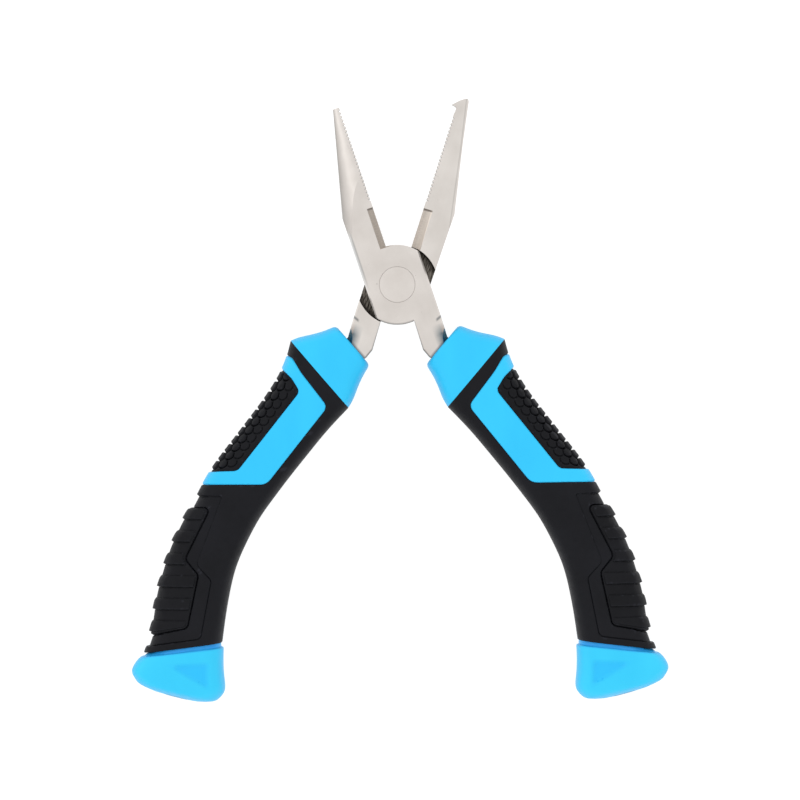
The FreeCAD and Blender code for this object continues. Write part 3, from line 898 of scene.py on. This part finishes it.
WALL_SHADE = (0.20, 0.192, 0.184)
EDGE_SHADE = (0.10, 0.096, 0.092)
CHAMFER_HIGHLIGHT = (0.72, 0.715, 0.71)
CHAMFER_SHADE = (0.44, 0.432, 0.42)
STEP_SHADE = (0.19, 0.16, 0.135)
SCOOP_TOP_SHADE = (0.08, 0.10, 0.11)
CONTACT_SHADE = (0.10, 0.13, 0.145)
REFLECTED_BLUE = (0.085, 0.135, 0.163)
CORNER_EDGE_SHADE = (0.26, 0.20, 0.165)
# The bevel colours hold painted shade on the front cutter, painted light on the rear one, and a painted
# highlight on the rear bevel's far side.
FRONT_BEVEL = (-0.95, (0.38, 0.32, 0.265), None)  # (x of the inner side, colour, colour by that side)
REAR_BEVEL = (-2.3, (0.65, 0.58, 0.515), (0.80, 0.725, 0.65))


def lever_steel(name, way, low, high, bevel):
    """Satin nickel plate over ground steel, with painted shade, shadows and reflections: way is 1 for the
    front half and -1 for the rear.
    """
    material, tree, shader = new_material(name)
    place, x, y, z = closed_place(tree, way)
    level = levelness(tree)
    radius = calculated(tree, "ADD", multiplied(tree, x, x), multiplied(tree, y, y))
    radius = calculated(tree, "SQRT", radius)

    colour = ramp(tree, noise(tree, 160, 5), low, high)
    pits = ranged(tree, noise(tree, 2600, 2), 1.0, 0.0, 0.20, 0.27)
    colour = mixed(tree, pits, colour, scaled(low, 0.72))
    # Painted shade on the jaws' tilted faces and rounded edges, which are made darker.
    tilt_shade = multiplied(tree, above(tree, y, JOINT_END_Y), ranged(tree, level, 1.0, 0.0, 0.3, 0.87))
    colour = mixed(tree, tilt_shade, colour, scaled(low, 0.52))
    # Painted shade on the upright walls of the tangs and the round plates.
    wall_shade = multiplied(tree, ranged(tree, y, 0.0, 1.0, 13.0, 4.0), ranged(tree, level, 1.0, 0.0, 0.25, 0.5))
    colour = mixed(tree, wall_shade, colour, WALL_SHADE)
    colour = ground_cutter(tree, place, x, y, colour, *bevel)
    if way == 1:
        colour = plate_chamfer(tree, x, y, colour)
    else:
        # Painted shade along the hooked jaw's eased outer edge.
        colour = mixed(tree, jaw_edge_shade(tree, x, y), colour, scaled(low, 0.6))
    # Painted shade on the thin lower edges.
    colour = mixed(tree, lower_edge_shade(tree, x, y, radius), colour, EDGE_SHADE)
    colour = corner_reflection(tree, place, x, y, colour)
    colour = mixed(tree, scoop_top_shade(tree, x, y), colour, SCOOP_TOP_SHADE)
    colour = mixed(tree, by_collar(tree, x, y), colour, CONTACT_SHADE)
    colour = milled_and_shaded_lap(tree, place, z, radius, level, colour)
    tree.links.new(colour, shader.inputs["Base Color"])

    shader.inputs["Metallic"].default_value = 1.0
    grain = noise(tree, 1.2, 4, (1, 0.12, 1), place)
    tree.links.new(ranged(tree, grain, 0.34, 0.46), shader.inputs["Roughness"])
    coarse = bump(tree, shader, grain, 0.00001, 0.35)
    bump(tree, shader, noise(tree, 5200), 0.00001, 0.5, under=coarse)
    return material


def ground_cutter(tree, place, x, y, colour, bevel_edge, lit_tone, far_highlight):
    """The cutter's bevel: grinding marks in painted light and shade, perhaps a painted far-side highlight,
    the step's painted shadow.
    """
    # Grinding marks, in a tone with painted light or shade for this cutter.
    marks = ramp(tree, noise(tree, 1.6, 4, (1, 3, 0.25), place), scaled(lit_tone, 0.8), lit_tone)
    bevel = multiplied(
        tree,
        above(tree, x, bevel_edge + 0.02),
        above(tree, y, JOINT_END_Y),
        below(tree, y, CUTTER_TOP_Y + 0.05),
    )
    colour = mixed(tree, bevel, colour, marks)
    # Painted highlight on the bevel's far side.
    if far_highlight:
        far_side = ranged(tree, x, 1.0, 0.0, bevel_edge + 0.2, bevel_edge + 1.4)
        colour = mixed(tree, multiplied(tree, bevel, far_side), colour, far_highlight)
    under_step = ranged(tree, y, 0.0, 0.85, CUTTER_TOP_Y - 0.36, CUTTER_TOP_Y - 0.22)
    return mixed(tree, multiplied(tree, bevel, under_step), colour, STEP_SHADE)


def plate_chamfer(tree, x, y, colour):
    """The chamfer down the front plate's jaw-side edge: a painted highlight outside, painted shade along
    its inner line.
    """
    inner_x = PLATE_EDGE_X + PLATE_CHAMFER
    across = ranged(tree, x, 0.0, 1.0, PLATE_EDGE_X, inner_x)
    # Painted highlight across the outer part of the chamfer, turning to painted shade along its inner line.
    strip = ramp(tree, across, CHAMFER_HIGHLIGHT, CHAMFER_SHADE, 0.0, 1.0)
    beside = ranged(tree, x, 1.0, 0.0, inner_x, inner_x + 0.2)
    ends = multiplied(tree, ranged(tree, y, 1.0, 0.0, 11.5, 13.5), ranged(tree, y, 0.0, 1.0, 0.5, 4.5))
    return mixed(tree, multiplied(tree, beside, ends), colour, strip)


def jaw_edge_shade(tree, x, y):
    """A faint line of painted shade just inside the hooked jaw's outer edge, where the edge has been eased.
    """
    first, second = [beyond(tree, x, y, b, a) for a, b in zip(JAW_EDGE, JAW_EDGE[1:])]
    inside = calculated(tree, "MINIMUM", first, second)
    line = ranged(tree, distance_from(tree, inside, 0.27), 0.45, 0.0, 0.04, 0.2)
    return multiplied(tree, line, above(tree, y, 14.0))


def lower_edge_shade(tree, x, y, radius):
    """Painted shade on the thin edges of the round plate and of the tang's inner side."""
    rim = multiplied(
        tree,
        ranged(tree, radius, 0.0, 0.6, DISC_R - 0.3, DISC_R),
        below(tree, x, DISC_EDGE_END_X),
        ranged(tree, y, 1.0, 0.0, -5.8, -3.4),
    )
    bend_y = TANG_BEND[0][1]
    flank = ranged(tree, x, 0.4, 0.0, 0.85, 1.1)
    flank = multiplied(tree, flank, below(tree, y, -8.0), above(tree, y, bend_y))
    heel = ranged(tree, beyond(tree, x, y, *TANG_BEND), 0.8, 0.0, 0.05, 0.32)
    heel = multiplied(tree, heel, below(tree, y, bend_y))
    return calculated(tree, "MAXIMUM", calculated(tree, "MAXIMUM", rim, flank), heel)


def corner_reflection(tree, place, x, y, colour):
    """A painted reflection of the collar's blue on a tang's outer corner, where it runs into the collar,
    with painted shade on its edge.
    """
    reflection_streaks = noise(tree, 1.0, 5, (0.7, 2.4, 1), place)
    corner = multiplied(
        tree,
        ranged(tree, y, 0.0, 1.0, -9.9, -12.2),
        ranged(tree, x, 0.0, 1.0, 3.65, 5.4),
        ranged(tree, reflection_streaks, 0.92, 1.0, 0.36, 0.6),
    )
    # Painted reflection of the blue collar, turning to painted shade at the outer edge.
    polish_and_sheen = ramp(tree, ranged(tree, x, 0.0, 1.0, 5.35, 5.65), REFLECTED_BLUE, CORNER_EDGE_SHADE, 0.0, 1.0)
    return mixed(tree, corner, colour, polish_and_sheen)


def scoop_top_shade(tree, x, y):
    """Painted shade at the top of the scoop across a tang's outer edge."""
    slant = calculated(tree, "ADD", y, calculated(tree, "MULTIPLY", x, -SCOOP_TOP_SLOPE))
    across = ranged(tree, distance_from(tree, slant, SCOOP_TOP_Y), 1.0, 0.0, 0.08, 0.40)
    return multiplied(tree, across, ranged(tree, x, 0.0, 0.68, 4.95, 5.35))


def by_collar(tree, x, y):
    """The shade where a tang enters its collar."""
    along = calculated(tree, "MULTIPLY", x, math.sin(COLLAR_TILT))
    along = calculated(tree, "SUBTRACT", along, calculated(tree, "MULTIPLY", y, math.cos(COLLAR_TILT)))
    return ranged(tree, along, 0.0, 0.85, COLLAR_FACE_S - 0.55, COLLAR_FACE_S - 0.05)


def milled_and_shaded_lap(tree, place, z, radius, level, colour):
    """Milling streaks on the level lap faces, painted dark as shade, with a painted shadow darkest by the
    shoulder round the disc.
    """
    streaks = noise(tree, 1.3, 6, (4.5, 0.6, 0.5), place)
    # Milling streaks in dark colours that paint the shade in the lap recess.
    milled_and_shaded = ramp(tree, streaks, (0.022, 0.017, 0.013), (0.30, 0.27, 0.235), 0.36, 0.72)
    # Painted shadow by the shoulder round the disc.
    milled_and_shaded = mixed(tree, ranged(tree, radius, 0.0, 0.9, 7.2, 8.1), milled_and_shaded, (0.008, 0.006, 0.005))
    near_lap = ranged(tree, distance_from(tree, z, LAP_Z), 1.0, 0.0, 0.1, 0.6)
    return mixed(tree, multiplied(tree, near_lap, above(tree, level, 0.9)), colour, milled_and_shaded)


def rivet_steel():
    """The rivet's ground heads, with faint turned rings."""
    material, tree, shader = new_material("steel_rivet")
    colour = ramp(tree, noise(tree, 220, 5), (0.66, 0.615, 0.577), (0.715, 0.672, 0.635))
    tree.links.new(colour, shader.inputs["Base Color"])
    shader.inputs["Metallic"].default_value = 1.0
    tree.links.new(ranged(tree, noise(tree, 1400, 4), 0.34, 0.46), shader.inputs["Roughness"])
    rings = tree.nodes.new("ShaderNodeTexWave")
    rings.wave_type = "RINGS"
    rings.rings_direction = "Z"
    rings.inputs["Scale"].default_value = 900
    tree.links.new(object_place(tree), rings.inputs["Vector"])
    turned = bump(tree, shader, rings.outputs["Fac"], 0.000004, 0.3)
    bump(tree, shader, noise(tree, 5200), 0.00001, 0.5, under=turned)
    return material


# ---- the pieces --------------------------------------------------------------------------------------
GRIP_RUBBER = rubber("grip_rubber_black", (0.0048, 0.0051, 0.0072), (0.0068, 0.0071, 0.0100), 0.56, 5200)
PAD_RUBBER = rubber("pad_rubber_black", (0.0045, 0.0047, 0.0064), (0.0062, 0.0065, 0.0088), 0.60, 4200)
CORE_PLASTIC = rubber("core_plastic_black", (0.012, 0.012, 0.013), (0.018, 0.018, 0.02), 0.50, 3000)
BLUE = blue_plastic("blue_moulding", (0.014, 0.54, 0.935), (0.020, 0.59, 0.965))
CAP_BLUES = [
    blue_plastic(f"blue_cap_{hand}", (0.018, 0.575, 0.925), (0.026, 0.625, 0.955), way)
    for hand, way in (("right", 1), ("left", -1))
]

HANDS = (("right", 1, "front_half"), ("left", -1, "rear_half"))  # (hand, side, body)
MOULDINGS = [  # (name, shape, material on each hand, slot)
    ("collar", collar(), (BLUE, BLUE), "blue_plastic"),
    ("sleeve", sleeve(), (GRIP_RUBBER, GRIP_RUBBER), "grip_rubber"),
    ("inlay", inlay(), (BLUE, BLUE), "blue_plastic"),
    ("scale_pad", scale_pad(), (PAD_RUBBER, PAD_RUBBER), "pad_rubber"),
    ("rib_pad", rib_pad(), (PAD_RUBBER, PAD_RUBBER), "pad_rubber"),
    ("end_cap", end_cap(), CAP_BLUES, "blue_plastic"),
]
for which, (hand, side, body) in enumerate(HANDS):
    for name, (points, faces), materials, slot in MOULDINGS:
        node = f"{hand}_{name}"
        add_piece(node + "_moulding", to_rest(points, side), faces, materials[which], body, node)

STEEL_LOOKS = {
    "front_lever": lever_steel("steel_front", 1, (0.65, 0.607, 0.57), (0.72, 0.677, 0.64), FRONT_BEVEL),
    "rear_lever": lever_steel("steel_rear", -1, (0.65, 0.61, 0.572), (0.72, 0.68, 0.642), REAR_BEVEL),
    "pivot_rivet": rivet_steel(),
    "right_core": CORE_PLASTIC,
    "left_core": CORE_PLASTIC,
}
for node, material in STEEL_LOOKS.items():
    mesh = frame["nodes"][node].data
    mesh.materials.clear()
    mesh.materials.append(material)


# ---- floor, light and camera -------------------------------------------------------------------------
FLOOR_HALF = 3.0
PICTURE_W = 0.160  # what the picture shows, across
PICTURE_MIDDLE = (0.00038, -0.0230)
PICTURE_TURN = math.radians(-0.45)
CAMERA_DISTANCE = 0.95


def floor():
    material, tree, shader = new_material("pale_floor")
    colour = ramp(tree, noise(tree, 3, 2), (0.30, 0.30, 0.30), (0.32, 0.32, 0.32))
    tree.links.new(colour, shader.inputs["Base Color"])
    shader.inputs["Roughness"].default_value = 0.8
    shader.inputs["Specular IOR Level"].default_value = 0.2
    shader.inputs["Emission Color"].default_value = (1, 1, 1, 1)
    shader.inputs["Emission Strength"].default_value = 0.85
    mesh = bpy.data.meshes.new("floor")
    signs = ((-1, -1), (1, -1), (1, 1), (-1, 1))
    corners = [(FLOOR_HALF * across, FLOOR_HALF * along, FLOOR_Z) for across, along in signs]
    mesh.from_pydata(corners, [], [(0, 1, 2, 3)])
    mesh.materials.append(material)
    piece = bpy.data.objects.new("floor", mesh)
    bpy.context.scene.collection.objects.link(piece)


def softbox(name, place, aim, size, power):
    light = bpy.data.lights.new(name, "AREA")
    light.shape = "RECTANGLE"
    light.size, light.size_y = size
    light.energy = power
    lamp = bpy.data.objects.new(name, light)
    lamp.location = place
    lamp.rotation_euler = (Vector(aim) - Vector(place)).to_track_quat("-Z", "Y").to_euler()
    bpy.context.scene.collection.objects.link(lamp)


def studio():
    world = bpy.data.worlds.new("studio")
    world.use_nodes = True
    background = world.node_tree.nodes["Background"]
    background.inputs["Color"].default_value = (1.0, 1.0, 1.0, 1)
    background.inputs["Strength"].default_value = 1.03
    bpy.context.scene.world = world
    bpy.context.scene.view_settings.view_transform = "Standard"
    softbox("key_softbox", (-1.2, 0.35, 0.75), (0, -0.02, 0), (1.4, 1.0), 1.6)


def camera():
    """Straight above the lap plane, turned by a fraction of a degree."""
    lens = bpy.data.cameras.new("camera")
    lens.sensor_width = 36
    lens.lens = lens.sensor_width * CAMERA_DISTANCE / PICTURE_W
    eye = bpy.data.objects.new("camera", lens)
    eye.location = (*PICTURE_MIDDLE, LAP_Z * MM + CAMERA_DISTANCE)
    eye.rotation_euler = (0, 0, PICTURE_TURN)
    bpy.context.scene.collection.objects.link(eye)
    bpy.context.scene.camera = eye


floor()
studio()
camera()
